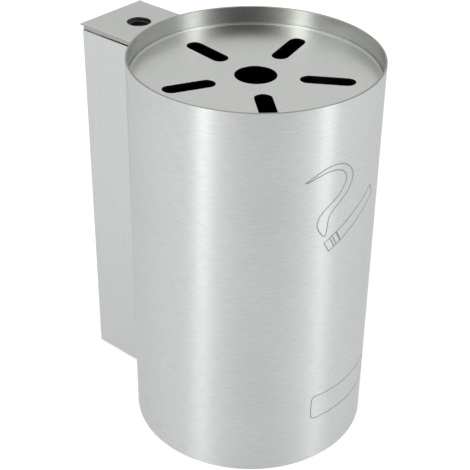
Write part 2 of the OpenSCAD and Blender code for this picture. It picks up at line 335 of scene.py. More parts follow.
# Brushed upright: a plainer, slightly darker sheet with fine upright lines.
SIDE = steel("satin stainless 304, upright grain", "#CACDCB", "#BBBEBC", 0.34, grain=(30, 0.8),
             streaks=0.04)
# Sheared: torn metal that scatters the light, so the edge reads darker than the face.
EDGE = steel("sheared stainless edge", "#B2B2AF", "#94948E", 0.42, grain=(1.0, 0.6), streaks=0.08)
# Etched with acid: fine pits that stay matt from every side.
ETCHED = steel("etched stainless, matt", "#A0A29F", "#8B8D8A", 0.60, grain=(0.6, 0.6), streaks=0.06)
steels = (BRUSHED, SATIN, MILL, PRESSED, SIDE, EDGE, ETCHED)
print("steels:", ", ".join(material.name for material in steels))

# %% [markdown]
# The hidden sheets have cheaper finishes. The liner is galvanised. Its inside, its floor and
# the dish's punched walls get a near black zinc as painted shade, so that little light comes
# back out of the dish's slots. Fasteners are zinc plated, and the rail is a plain folding sheet.

# %% Zinc and folding sheet
# Dipped in zinc: broad soft spangles, a shade bluer than stainless.
GALVANISED = steel("galvanised steel", "#A9ABAC", "#8B8D8F", 0.42, grain=(7, 5), streaks=0.10)
# The same zinc, painted almost black as shade for the hidden inside, with a dull gleam.
PAINTED_SHADE_ZINC = steel("galvanised steel painted near black as shade", "#3A3A39", "#1C1C1B", 0.62, grain=(9, 9), streaks=0.08)
# Plated and passivated: a warm silver that sets the fasteners off from the sheets.
ZINC = steel("zinc plated steel", "#B9B7AE", "#A3A198", 0.35, grain=(3, 0.5), streaks=0.05)
# Thicker sheet for folding: a plain grey with long rolling marks.
FOLDED = steel("stainless 304 folding sheet", "#BDBDBA", "#ACACA9", 0.34, grain=(20, 0.6),
               streaks=0.05)
print("inside:", ", ".join(material.name for material in (GALVANISED, PAINTED_SHADE_ZINC, ZINC, FOLDED)))

# %% [markdown]
# The lock is a black die casting and the pads are rubber. Neither has a direction, so their
# grain is a noise that is equal all ways. It drives the colour, the roughness and the bump
# together, because on a real casting the same pits do all three.

# %% Casting and rubber
ROUGHNESS_SWING = 0.06


def dull(name, light, dark, roughness, grain_size, relief, coat=0.0):
    """A non-metal with a fine grain, such as rubber or a black lacquered casting."""
    material, tree = new_material(name)
    spot = add(tree, "ShaderNodeTexCoord").outputs["Object"]
    grain = add(tree, "ShaderNodeTexNoise", Vector=spot, Scale=1 / (grain_size * MM), Detail=3.0)
    tint = add(tree, "ShaderNodeMix", {"data_type": "RGBA"},
               i0=grain.outputs[0], i6=linear(dark), i7=linear(light))
    rough = add(tree, "ShaderNodeMath", {"operation": "MULTIPLY_ADD"},
                i0=grain.outputs[0], i1=2 * ROUGHNESS_SWING, i2=roughness - ROUGHNESS_SWING)
    bump = add(tree, "ShaderNodeBump", Strength=1.0, Distance=relief * MM, Height=grain.outputs[0])
    shader = add(tree, "ShaderNodeBsdfPrincipled", Base_Color=tint.outputs[2], Metallic=0.0,
                 Roughness=rough.outputs[0], Coat_Weight=coat, Normal=bump.outputs[0])
    add(tree, "ShaderNodeOutputMaterial", Surface=shader.outputs[0])
    return material


# Die cast and lacquered: near black, with a soft gloss from the coat.
CASTING = dull("black lacquered zinc casting", "#2A2A2A", "#1C1C1C", 0.38, 0.8, 0.02, coat=0.3)
# Moulded rubber: matt, so that it hardly shows a highlight.
RUBBER = dull("EPDM rubber", "#1E1E1E", "#131313", 0.75, 0.5, 0.03)
print("other finishes:", CASTING.name, "and", RUBBER.name)

# %% [markdown]
# ## From points to a piece
# Every mesh below ends in one function. It takes points, the grain map's place for each
# point, and faces. It merges points that meet, turns all faces outward and keeps only real
# edges sharp, so that rounded stretches shade smoothly.

# %% Make a piece from points
SAME_PLACE = 1e-7  # points this near in metres are one point
SLIVER = 1e-8
SHARP_TURN = math.radians(42)


def as_object(name, shape, materials, sharp_turn=SHARP_TURN):
    """A smooth object from a bmesh. Only edges that turn more than sharp_turn stay sharp."""
    mesh = bpy.data.meshes.new(name)
    shape.to_mesh(mesh)
    shape.free()
    mesh.shade_smooth()
    mesh.set_sharp_from_angle(angle=sharp_turn)
    for material in materials:
        mesh.materials.append(material)
    piece = bpy.data.objects.new(name, mesh)
    bpy.context.scene.collection.objects.link(piece)
    return piece


def make_piece(name, points, grain, faces, materials, choose=None):
    """A mesh object. choose picks a material's number from a face's middle and normal."""
    shape = bmesh.new()
    layer = shape.loops.layers.uv.new("grain")
    corners = [shape.verts.new(point) for point in points]
    for face in faces:
        made = shape.faces.new([corners[i] for i in face])
        for loop, i in zip(made.loops, face):
            loop[layer].uv = grain[i]
    bmesh.ops.remove_doubles(shape, verts=shape.verts, dist=SAME_PLACE)
    bmesh.ops.dissolve_degenerate(shape, dist=SLIVER, edges=shape.edges)
    loose = [edge for edge in shape.edges if not edge.link_faces]
    bmesh.ops.delete(shape, geom=loose, context="EDGES")
    bmesh.ops.recalc_face_normals(shape, faces=shape.faces)
    if choose:
        for face in shape.faces:
            face.material_index = choose(face.calc_center_median(), face.normal)
    return as_object(name, shape, materials)


def settle(piece, body, slot, *nodes):
    """Says what the piece rides on and which nodes it stands for. slot is not used."""
    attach(piece, body)
    if nodes:
        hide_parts(*nodes)
    print(f"{piece.name}: {len(piece.data.polygons)} faces on body {body}")


print("edges that turn more than", round(math.degrees(SHARP_TURN)), "degrees stay sharp")

# %% [markdown]
# ## Turned shapes
# A tube, a pressed floor and a lock barrel are all turned shapes: a closed outline swept
# about an axis. The outline's corners are rounded first, with an extra point on either side
# of each arc, so that the flat stretches beside it stay flat in the shading.

# %% Round an outline and turn it
ARC_STEPS = 4
RING_STEPS = 192


def rounded(corners):
    """A closed outline from (x, y, radius) corners, with an arc at each rounded corner."""
    outline = []
    count = len(corners)
    for i, (x, y, radius) in enumerate(corners):
        corner = Vector((x, y))
        before = (Vector(corners[i - 1][:2]) - corner).normalized()
        after = (Vector(corners[(i + 1) % count][:2]) - corner).normalized()
        if radius <= 0:
            outline.append(corner)
            continue
        half = before.angle(after) / 2
        reach = radius / math.tan(half)
        centre = corner + (before + after).normalized() * radius / math.sin(half)
        start, end = corner + before * reach - centre, corner + after * reach - centre
        turn = start.angle_signed(end)
        outline.append(corner + before * (reach + radius / 2))
        for k in range(ARC_STEPS + 1):
            outline.append(centre + Matrix.Rotation(-turn * k / ARC_STEPS, 2) @ start)
        outline.append(corner + after * (reach + radius / 2))
    return outline


def turned(name, outline, centre, materials, choose=None, steps=RING_STEPS):
    """Sweeps a closed (radius, height) outline about the vertical axis through centre."""
    lengths = [0.0]
    for i in range(1, len(outline) + 1):
        lengths.append(lengths[-1] + (outline[i % len(outline)] - outline[i - 1]).length)
    girth = 2 * math.pi * max(p.x for p in outline)
    points, grain, faces = [], [], []
    rows = len(outline) + 1
    for k in range(steps + 1):
        turn = 2 * math.pi * k / steps
        for i in range(rows):
            radius, height = outline[i % len(outline)]
            x, y = centre[0] + radius * math.cos(turn), centre[1] + radius * math.sin(turn)
            points.append((x, y, height))
            grain.append((girth * k / steps, lengths[i]))
    for k in range(steps):
        for i in range(rows - 1):
            a, b = k * rows + i, (k + 1) * rows + i
            faces.append((a, b, b + 1, a + 1))
    return make_piece(name, points, grain, faces, materials, choose)


square = rounded([(0, 0, 1), (10, 0, 1), (10, 10, 1), (0, 10, 1)])
print("a square with round corners takes", len(square), "points")

# %% [markdown]
# The body is a sheet rolled to a tube and welded behind the housing. Its cut edges are only
# broken, not rolled in, so they get a radius of a quarter of a millimetre. Outside it is
# brushed around its girth, inside it keeps the mill's finish, and the edge is plain.

# %% The tube
CUT_EDGE = 0.22 * MM
ON_TUBE = (0.0, AXIS_Y)
TUBE_EDGE_RISE = 0.3  # the upward share of a normal where the cut edge begins


def tube_face(middle, normal):
    """0 on the outside, 1 in the bore, 2 on the cut edges."""
    if abs(normal.z) > TUBE_EDGE_RISE:
        return 2
    return 0 if math.hypot(middle.x, middle.y - AXIS_Y) > (BORE_R + TUBE_R) / 2 else 1


tube_outline = rounded([(BORE_R, FOOT, CUT_EDGE), (TUBE_R, FOOT, CUT_EDGE),
                        (TUBE_R, RIM, CUT_EDGE), (BORE_R, RIM, CUT_EDGE)])
tube = turned("tube_shell", tube_outline, ON_TUBE, [BRUSHED, MILL, EDGE], tube_face)
settle(tube, "bin", "brushed_steel", "body_tube")

# %% [markdown]
# The floor is a pressed pan set upside down in the tube's foot: a disc whose edge is turned
# down and welded in. The press leaves a radius at the turn, so its outline has one outside
# and a smaller one inside.

# %% The tube's floor
BASE_T = 1.2 * MM
BASE_BEND = 2.4 * MM
base_low, base_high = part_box("base_plate")
base_outline = rounded([
    (0, base_high.z - BASE_T, 0), (BORE_R - BASE_T, base_high.z - BASE_T, BASE_BEND - BASE_T),
    (BORE_R - BASE_T, base_low.z + CUT_EDGE, CUT_EDGE), (BORE_R, base_low.z + CUT_EDGE, CUT_EDGE),
    (BORE_R, base_high.z, BASE_BEND), (0, base_high.z, 0),
])
settle(turned("tube_floor", base_outline, ON_TUBE, [MILL]), "bin", "sheet_steel", "base_plate")

# %% [markdown]
# ## Sheet metal: cut a blank, then fold it
# The cap, the side sheets and the dish begin as flat blanks, and that is also the easiest
# way to model them. The blank's outline and holes are drawn flat, its area is filled with
# triangles, and a place function then bends every point to where the fold takes it. Holes
# stay round, folds get a true radius, and the sheet keeps its thickness everywhere. Along
# each cut the corner is rounded a little, because light always catches there.

# %% Divide and inset a cut
CLEAR_OF_POINT = 0.02 * MM
KEENEST_SHARE = 0.4  # keeps the inset of a keen corner from flying off


def divided(cut, columns, rows):
    """The closed cut with a new point wherever it crosses a column or a row of the blank."""
    loop = []
    for i, point in enumerate(cut):
        run = cut[(i + 1) % len(cut)] - point
        lines, axis = (columns, 0) if abs(run.x) > abs(run.y) else (rows, 1)
        shares = sorted((line - point[axis]) / run[axis] for line in lines)
        margin = CLEAR_OF_POINT / run.length
        loop += [point + run * s for s in [0.0] + [s for s in shares if margin < s < 1 - margin]]
    return loop


def inset(loop, distance):
    """The closed loop moved to its left, where the sheet is."""
    moved = []
    for i, point in enumerate(loop):
        before = (point - loop[i - 1]).normalized()
        after = (loop[(i + 1) % len(loop)] - point).normalized()
        side = Vector((-before.y - after.y, before.x + after.x)).normalized()
        share = side.dot(Vector((-after.y, after.x)))
        moved.append(point + side * distance / max(KEENEST_SHARE, share))
    return moved


def is_inside(x, y, loops):
    """Whether a point lies inside an odd number of the loops."""
    odd = False
    for loop in loops:
        for i, a in enumerate(loop):
            b = loop[i - 1]
            if (a.y > y) != (b.y > y) and x < (b.x - a.x) * (y - a.y) / (b.y - a.y) + a.x:
                odd = not odd
    return odd


square = inset([Vector(corner) for corner in ((0, 0), (10, 0), (10, 10), (0, 10))], 1)
print("a 10 mm square, inset by 1 mm, is", round(square[1].x - square[0].x), "mm wide")

# %% [markdown]
# The flat area needs points of its own, so that it can bend. They sit on a grid that is
# wide on the flats and close in the folds. Points that fall off the sheet or almost on a
# cut are dropped. Blender's constrained Delaunay function joins the rest to triangles.

# %% Cut a blank
CLEAR_OF_CUT = 0.12 * MM
SAME_POINT = 1e-9


def fill(loops, guides):
    """The guide points that lie on the sheet and clear of its cuts."""
    edge = [point for loop in loops for point in loop]
    near = kdtree.KDTree(len(edge))
    for i, point in enumerate(edge):
        near.insert((point.x, point.y, 0), i)
    near.balance()
    clear = [g for g in guides if near.find((g.x, g.y, 0))[2] > CLEAR_OF_CUT]
    return [g for g in clear if is_inside(g.x, g.y, loops)]


def triangles_of(loops, guides):
    """Points and triangles for the area between the loops."""
    points, ties = [], []
    for loop in loops:
        first = len(points)
        ties += [(first + i, first + (i + 1) % len(loop)) for i in range(len(loop))]
        points += loop
    points += fill(loops, guides)
    spots, _, triangles, _, _, _ = delaunay_2d_cdt(points, ties, [], 0, SAME_POINT)
    middles = [sum((spots[i] for i in t), Vector((0, 0))) / len(t) for t in triangles]
    return spots, [list(t) for t, m in zip(triangles, middles) if is_inside(m.x, m.y, loops)]


def sheet(name, cuts, guides, thickness, place, materials, choose, edge=CUT_EDGE, flip=False):
    """A sheet with its metal on the left of each cut, bent by place. flip turns its grain."""
    corner = []
    for k in range(ARC_STEPS + 1):
        turn = math.radians(90 * k / ARC_STEPS)
        corner.append((edge * (1 - math.sin(turn)), edge * (1 - math.cos(turn))))
    corner = [(2 * edge, 0.0)] + corner
    section = corner + [(inward, thickness - depth) for inward, depth in reversed(corner)]
    spots, triangles = triangles_of([inset(cut, 2 * edge) for cut in cuts], guides)
    blank = [(p.x, p.y, depth) for depth in (0.0, thickness) for p in spots]
    faces = triangles + [[i + len(spots) for i in reversed(t)] for t in triangles]
    for cut in cuts:
        start, count = len(blank), len(cut)
        for inward, depth in section:
            blank += [(p.x, p.y, depth) for p in inset(cut, inward)]
        for a in range(start, start + count * (len(section) - 1), count):
            faces += [(a + i, a + (i + 1) % count, a + count + (i + 1) % count, a + count + i)
                      for i in range(count)]
    grain = [(v, u) if flip else (u, v) for u, v, _ in blank]
    bent = [place(u, v, depth) for u, v, depth in blank]
    return make_piece(name, bent, grain, faces, materials, choose)


def circle(x, y, radius, steps, clockwise=True):
    """A round cut. Clockwise leaves the sheet outside it, as a hole does."""
    turns = [(-1 if clockwise else 1) * 2 * math.pi * k / steps for k in range(steps)]
    return [Vector((x + radius * math.cos(t), y + radius * math.sin(t))) for t in turns]


print("a rounded cut edge takes", ARC_STEPS + 1, "points on each face")

# %% [markdown]
# A fold is an arc between two straight legs. The walk below follows the sheet's outer face
# along legs and arcs, and gives the place and the direction at any length. Depth then goes
# to the left of the walk, which is where the sheet is.

# %% Fold a blank
FOLD_STEPS = 6


def fold(start, heading, legs, radius):
    """Legs are (length, turn in degrees), left turns positive. Gives a function from a length
    and a depth to a place, the lengths where each fold starts and ends, and the whole length."""
    stretches, bends, at = [], [], 0.0
    place, heading = Vector(start), math.radians(heading)
    for length, turn in legs:
        stretches.append((at, place.copy(), heading, 0))
        place += Vector((math.cos(heading), math.sin(heading))) * length
        at += length
        if turn:
            way = math.copysign(1, turn)
            stretches.append((at, place.copy(), heading, way))
            centre = place + Vector((-math.sin(heading), math.cos(heading))) * radius * way
            place = centre + Matrix.Rotation(math.radians(turn), 2) @ (place - centre)
            heading += math.radians(turn)
            bends.append((at, at + radius * math.radians(abs(turn))))
            at = bends[-1][1]

    def walk(length, depth):
        begun = [stretch for stretch in stretches if length >= stretch[0]]
        first, place, heading, way = begun[-1] if begun else stretches[0]
        along = length - first
        if way:
            centre = place + Vector((-math.sin(heading), math.cos(heading))) * radius * way
            place = centre + Matrix.Rotation(way * along / radius, 2) @ (place - centre)
            heading, along = heading + way * along / radius, 0
        forward = Vector((math.cos(heading), math.sin(heading)))
        return place + forward * along + Vector((-forward.y, forward.x)) * depth

    return walk, bends, at


def spread(low, high, pitch, bends=()):
    """Positions from low to high: about a pitch apart, and close together in the folds."""
    parts = max(2, round((high - low) / pitch))
    lines = [low + (high - low) * k / parts for k in range(1, parts)]
    lines = [line for line in lines if all(not a - pitch / 4 < line < b + pitch / 4 for a, b in bends)]
    lines += [a + (b - a) * k / FOLD_STEPS for a, b in bends for k in range(FOLD_STEPS + 1)]
    return sorted(lines)


def crossings(columns, rows):
    """The points of a grid."""
    return [Vector((x, y)) for x in columns for y in rows]


_, example_bends, _ = fold((0, 0), 0, [(10, 90), (10, 0)], 1.5)
example = example_bends[0][1] - example_bends[0][0]
print("a 90 degree fold of 1.5 mm radius takes", round(example, 2), "mm of blank")

# %% [markdown]
# ## The ash dish
# The dish is one pressed disc with a hair of dishing, a flat outer band and a short edge
# turned up against the tube. Its five slots and the centre hole are punched, so their
# walls are square to the sheet. The slots are two half circles joined by straight sides.

# %% Slots
DISH_T = 1.0 * MM
DISH_EDGE = 0.8 * MM
DISH_SAG = 1.2 * MM
DISH_BAND = 3.6 * MM
DISH_BEND = 1.2 * MM
DISH_FIT = 0.2 * MM
SLOT_COUNT = 5
SLOT_WIDTH = 8.4 * MM
SLOT_NEAR = 20.7 * MM
SLOT_INSET = 12.3 * MM
SLOT_TURN = 11.6
SLOT_END_STEPS = 24
CENTRE_HOLE_R = 10.0 * MM
dish_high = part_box("ash_dish")[1]
DISH_R = dish_high.x + DISH_FIT
DISH_Z = dish_high.z - DISH_EDGE


def slot_cut(index):
    """The clockwise cut of one slot."""
    half = SLOT_WIDTH / 2
    ends = ((DISH_R - SLOT_INSET - half, 90), (SLOT_NEAR + half, -90))
    cut = []
    for reach, first in ends:
        for k in range(SLOT_END_STEPS + 1):
            turn = math.radians(first - 180 * k / SLOT_END_STEPS)
            cut.append(Vector((reach + half * math.cos(turn), half * math.sin(turn))))
    turned_to = Matrix.Rotation(math.radians(SLOT_TURN + 360 * index / SLOT_COUNT), 2)
    return [turned_to @ point for point in cut]


print(f"{SLOT_COUNT} slots, {SLOT_WIDTH / MM:.1f} mm wide and "
      f"{(DISH_R - SLOT_INSET - SLOT_NEAR) / MM:.1f} mm long")

# %% [markdown]
# The walk goes along the underside from the middle outward, because the sheet then lies to
# its left. Rings of points take the place of the grid, so that the turned-up edge is round.

# %% The dish
DISH_PITCH = 3.0 * MM
DISH_CUT_EDGE = 0.12 * MM
FULL_RINGS_FROM = 50 * MM
FEWEST_ON_RING = 12
CENTRE_HOLE_STEPS = 96
HALF_RISE = 0.5  # a normal with less than this upward share looks sideways
dish_walk, dish_bends, dish_reach = fold(
    (0, DISH_Z - DISH_T), 0,
    [(DISH_R - DISH_BEND, 90), (DISH_T + DISH_EDGE - DISH_BEND, 0)], DISH_BEND)


def dish_place(x, y, depth):
    """Bends a point of the flat disc up into the dish."""
    reach = math.hypot(x, y)
    radius, height = dish_walk(reach, depth)
    bowl = DISH_R - DISH_BAND
    height += DISH_SAG * min(0.0, (reach / bowl) ** 2 - 1)
    share = radius / reach if reach else 0
    return x * share, AXIS_Y + y * share, height


def dish_face(middle, normal):
    """1 on the punched walls, which take the painted shade, 0 elsewhere."""
    reach = math.hypot(middle.x, middle.y - AXIS_Y)
    return 1 if abs(normal.z) < HALF_RISE and reach < DISH_R - DISH_BAND else 0


dish_guides = []
for ring in spread(0, dish_reach, DISH_PITCH, dish_bends) + [DISH_R - DISH_BAND]:
    count = max(FEWEST_ON_RING, round(2 * math.pi * ring / DISH_PITCH))
    if ring > FULL_RINGS_FROM:
        count = RING_STEPS
    turns = [Matrix.Rotation(-2 * math.pi * k / count, 2) for k in range(count)]
    dish_guides += [Vector((ring, 0)) @ turn for turn in turns]
dish_cuts = [circle(0, 0, dish_reach, RING_STEPS, clockwise=False),
             circle(0, 0, CENTRE_HOLE_R, CENTRE_HOLE_STEPS)]
dish_cuts += [slot_cut(i) for i in range(SLOT_COUNT)]
# The punched walls take the near black zinc: painted shade where little light reaches.
dish = sheet("ash_dish_pressing", dish_cuts, dish_guides, DISH_T, dish_place, [PRESSED, PAINTED_SHADE_ZINC],
             dish_face, edge=DISH_CUT_EDGE)
settle(dish, "dish", "dish_steel", "ash_dish")

# %% [markdown]
# ## The housing
# The cap is one sheet with a short lip folded down on either side. Its front edge is cut to
# the tube's curve and welded there. At the wall the lips stop early, so that the flat
# sheet ends in a small tab at each corner. The key hole is punched above the lock.

# %% The cap
CAP_T = 1.0 * MM
CAP_BEND = 1.05 * MM
LIP_SETBACK = 2.0 * MM
KEY_HOLE_R = 6.0 * MM
KEY_HOLE_STEPS = 72
CAP_PITCH_ACROSS, CAP_PITCH_ALONG = 4 * MM, 3 * MM
CAP_FLAT_RISE = 0.75  # the upward share of a normal on the flat
cap_low, cap_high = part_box("housing_cap")
lock_low, lock_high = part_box("lock_barrel")
ON_LOCK = (round((lock_low.x + lock_high.x) / 2, HUNDREDTHS),
           round((lock_low.y + lock_high.y) / 2, HUNDREDTHS))
lip_leg = cap_high.z - cap_low.z - CAP_BEND
cap_walk, cap_bends, cap_width = fold(
    (cap_high.x, cap_low.z), 90,
    [(lip_leg, 90), (cap_high.x - cap_low.x - 2 * CAP_BEND, 90), (lip_leg, 0)], CAP_BEND)


def tube_contact(x):
    """Where a sheet at x meets the tube."""
    return AXIS_Y + math.sqrt(TUBE_R ** 2 - min(abs(x), TUBE_R) ** 2)


def cap_place(u, v, depth):
    """Folds the cap's blank. The tabs behind the lips stay flat."""
    if v > -LIP_SETBACK:
        return (cap_width / 2 - u) * tab_share, v, cap_high.z - depth
    across, height = cap_walk(u, depth)
    return across, v, height


tab_start = (cap_bends[0][0] + cap_bends[0][1]) / 2
tab_share = cap_high.x / (cap_width / 2 - tab_start)
cap_columns = spread(0, cap_width, CAP_PITCH_ACROSS, cap_bends)
cap_rows = spread(tube_contact(cap_high.x), 0, CAP_PITCH_ALONG)
tab_end = cap_width - tab_start
front = [Vector((u, tube_contact(cap_walk(u, 0).x))) for u in [0.0] + cap_columns + [cap_width]]
back = [(cap_width, -LIP_SETBACK), (tab_end, -LIP_SETBACK), (tab_end, 0),
        (tab_start, 0), (tab_start, -LIP_SETBACK), (0, -LIP_SETBACK)]
cap_cut = divided(front + [Vector(point) for point in back], cap_columns, cap_rows)
key_hole = circle(cap_width / 2, ON_LOCK[1], KEY_HOLE_R, KEY_HOLE_STEPS)


def cap_face(middle, normal):
    """1 on the lips and the cut edges, 0 on the flat."""
    return 0 if abs(normal.z) > CAP_FLAT_RISE else 1


cap = sheet("cap_sheet", [cap_cut, key_hole], crossings(cap_columns, cap_rows), CAP_T, cap_place,
            [SATIN, EDGE], cap_face)
settle(cap, "bin", "brushed_steel", "housing_cap")

# %% [markdown]
# Each side sheet runs from the tube to the wall and is folded inward there. The fold is cut
# short at the foot, where the sheet stands on the rail's shelf. The belt ran up and down
# on these sheets, so their grain is flipped to run upright. One function makes both, and
# the left one is the mirror image.

# %% The side sheets
SIDE_T = 1.0 * MM
SIDE_BEND = 1.1 * MM
FOLD_WIDTH = 6.5 * MM
FOLD_FOOT_RISE = 2.5 * MM
SIDE_PITCH = 6 * MM


def side_face(middle, normal):
    """1 on the cut ends, 0 elsewhere."""
    return 1 if abs(normal.z) > HALF_RISE else 0


def side_sheet(name, node, side):
    """One side sheet, on the side with that sign."""
    low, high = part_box(node)
    outer = max(abs(low.x), abs(high.x))
    start = tube_contact(outer)
    walk, bends, length = fold(
        (outer, start), 90,
        [(high.y - start - SIDE_BEND, 90), (FOLD_WIDTH - SIDE_BEND, 0)], SIDE_BEND)
    columns, rows = spread(0, length, SIDE_PITCH, bends), spread(low.z, high.z, SIDE_PITCH)
    notch, notch_top = bends[0][1], low.z + FOLD_FOOT_RISE
    corners = [(0, low.z), (notch, low.z), (notch, notch_top), (length, notch_top),
               (length, high.z), (0, high.z)]
    cut = divided([Vector(corner) for corner in corners], columns, rows)

    def place(u, v, depth):
        across, along = walk(u, depth)
        return side * across, along, v

    piece = sheet(name, [cut], crossings(columns, rows), SIDE_T, place, [SIDE, EDGE],
                  side_face, flip=True)
    settle(piece, "bin", "brushed_steel", node)


side_sheet("side_sheet_left", "housing_side_left", -1)
side_sheet("side_sheet_right", "housing_side_right", 1)

# %% [markdown]
# ## The lock
# A cam lock is a threaded barrel with a wide head, and a spindle that turns inside it. The
# key goes over a three-sided drive at the bottom of a round recess. The barrel is turned,
# with a fine thread below the washer. Its ridges stay inside the barrel's diameter.

# %% The lock's barrel
HEAD_R, SHANK_R, RECESS_R, STEM_R = 10.0 * MM, 7.0 * MM, 4.8 * MM, 4.1 * MM
HEAD_T = 2.0 * MM
RECESS_DEPTH = 7.0 * MM
THREAD_PITCH = 1.5 * MM
THREAD_DEPTH = 0.5 * MM
THREAD_START = 3.0 * MM
THREAD_CLEAR = 0.4 * MM
HEAD_UNDER, HEAD_ROUND, RECESS_ROUND = 0.2 * MM, 0.6 * MM, 0.3 * MM
LOCK_STEPS = 96


def thread_points(top, foot):
    """The barrel's outline from the foot up to the end of the thread, ridge by ridge."""
    count = int((top - foot) / THREAD_PITCH)
    points = []
    for k in range(count):
        ridge = foot + k * THREAD_PITCH + THREAD_CLEAR
        points += [(SHANK_R - THREAD_DEPTH, ridge, 0), (SHANK_R, ridge + THREAD_PITCH / 2, 0)]
    return points


lock_top, lock_foot = lock_high.z, lock_low.z
thread_top = lock_top - HEAD_T - THREAD_START
barrel_corners = [(STEM_R, lock_foot, 0)] + thread_points(thread_top, lock_foot)
barrel_corners += [
    (SHANK_R, lock_top - HEAD_T, 0), (HEAD_R, lock_top - HEAD_T, HEAD_UNDER),
    (HEAD_R, lock_top, HEAD_ROUND), (RECESS_R, lock_top, RECESS_ROUND),
    (RECESS_R, lock_top - RECESS_DEPTH, 0), (STEM_R, lock_top - RECESS_DEPTH, 0),
]
barrel = turned("lock_body", rounded(barrel_corners), ON_LOCK, [CASTING], steps=LOCK_STEPS)
settle(barrel, "bin", "lock_zinc", "lock_barrel")

# %% [markdown]
# ## The liner
# The liner is a bucket inside the tube: a sheet rolled round, with its rim folded outward
# so that the dish can rest on it, and two finger holes to lift it by. Here the walk goes up
# the wall and over the rim, and the blank's other direction goes round the girth. The seam
# lies at the back.

# %% The liner's wall
LINER_T = 0.8 * MM
LINER_BEND = 0.5 * MM
FINGER_HOLE_R = 11.0 * MM
FINGER_HOLE_DROP = 20.0 * MM
FINGER_HOLE_STEPS = 64
FINGER_HOLE_SHARES = (0.25, 0.75)  # of the girth from the seam, so left and right
LINER_RIM = 1.2 * MM
LINER_CUT_EDGE = 0.15 * MM
LINER_PITCH = 10 * MM
LINER_STEPS = 144
RIM_PLAY = 0.02 * MM  # the dish rests on the rim with this much air, so the sheets never cross
liner_low, liner_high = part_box("liner_wall")
LINER_RIM_R = liner_high.x
LINER_R = LINER_RIM_R - LINER_RIM
liner_girth = 2 * math.pi * LINER_R
liner_walk, liner_bends, liner_length = fold(
    (LINER_R, liner_low.z), 90,
    [(liner_high.z - RIM_PLAY - LINER_T - LINER_BEND - liner_low.z, -90),
     (LINER_RIM_R - LINER_R - LINER_BEND, 0)],
    LINER_BEND)


def liner_place(u, v, depth):
    """Rolls the liner's blank, with its seam toward the wall."""
    radius, height = liner_walk(u, depth)
    turn = math.pi / 2 + 2 * math.pi * v / liner_girth
    return radius * math.cos(turn), AXIS_Y + radius * math.sin(turn), height


def liner_face(middle, normal):
    """1 on the inside, which takes the painted shade, 0 on the outside and the rim."""
    outward = normal.x * middle.x + normal.y * (middle.y - AXIS_Y)
    return 1 if outward < 0 and abs(normal.z) < HALF_RISE else 0


liner_columns = spread(0, liner_length, LINER_PITCH, liner_bends)
liner_rows = [liner_girth * k / LINER_STEPS for k in range(LINER_STEPS + 1)]
liner_corners = [(0, 0), (liner_length, 0), (liner_length, liner_girth), (0, liner_girth)]
liner_cut = divided([Vector(corner) for corner in liner_corners], liner_columns, liner_rows)
finger_u = liner_high.z - FINGER_HOLE_DROP - liner_low.z
finger_holes = [circle(finger_u, liner_girth * share, FINGER_HOLE_R, FINGER_HOLE_STEPS)
                for share in FINGER_HOLE_SHARES]
liner_guides = crossings(liner_columns, liner_rows[1:-1])
# The inside of the wall takes the near black zinc: painted shade.
liner = sheet("liner_shell", [liner_cut] + finger_holes, liner_guides, LINER_T, liner_place,
              [GALVANISED, PAINTED_SHADE_ZINC], liner_face, edge=LINER_CUT_EDGE, flip=True)
settle(liner, "liner", "liner_steel", "liner_wall")

# %% [markdown]
# The liner's floor is a shallow pan, pressed with its edge up and welded into the wall.

# %% The liner's floor
PAN_BEND = 1.8 * MM
pan_low, pan_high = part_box("liner_floor")
pan_r = LINER_R - LINER_T
pan_outline = rounded([
    (0, pan_low.z, 0), (pan_r, pan_low.z, PAN_BEND), (pan_r, pan_high.z, LINER_CUT_EDGE),
    (pan_r - LINER_T, pan_high.z, LINER_CUT_EDGE),
    (pan_r - LINER_T, pan_low.z + LINER_T, PAN_BEND - LINER_T), (0, pan_low.z + LINER_T, 0),
])
# The pan takes the near black zinc all over: painted shade.
settle(turned("liner_pan", pan_outline, ON_TUBE, [PAINTED_SHADE_ZINC]), "liner", "liner_steel", "liner_floor")

# %% [markdown]
# ## Small hardware
# The rail, the lock's plate, the nut, the washers, the cam and its screw already have their
# true shape in the frame. What they lack is the small radius that every real edge has. So
# each is copied to a new piece, its flat faces are joined up, and its sharp edges get a
# narrow bevel. The grain map is laid on from the side that each face looks to.

# %% Bevelled copies
WELD_WITHIN = 1e-6
FLAT_TURN = math.radians(1)
KEEN_TURN = math.radians(35)
SHADED_TURN = math.radians(50)


def flat_grain(place, normal):
    """Two real lengths across a face, from the axis that it faces most."""
    axis = max(range(3), key=lambda i: abs(normal[i]))
    return [place[i] for i in range(3) if i != axis]


def bevelled_copy(name, node, body, slot, material, width):
    """A copy of a node's shape with narrow bevels, as a piece of its own."""
    shape = bmesh.new()
    shape.from_mesh(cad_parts[node].data)
    bmesh.ops.remove_doubles(shape, verts=shape.verts, dist=WELD_WITHIN)
    bmesh.ops.dissolve_limit(shape, angle_limit=FLAT_TURN, verts=shape.verts, edges=shape.edges)
    folds = [edge for edge in shape.edges if len(edge.link_faces) == 2]
    keen = [edge for edge in folds if edge.calc_face_angle() > KEEN_TURN]
    bmesh.ops.bevel(shape, geom=keen, offset=width, offset_type="OFFSET", segments=2, profile=0.5,
                    affect="EDGES", clamp_overlap=True)
    bmesh.ops.recalc_face_normals(shape, faces=shape.faces)
    layer = shape.loops.layers.uv.new("grain")
    for face in shape.faces:
        for loop in face.loops:
            loop[layer].uv = flat_grain(loop.vert.co, face.normal)
    settle(as_object(name, shape, [material], SHADED_TURN), body, slot, node)


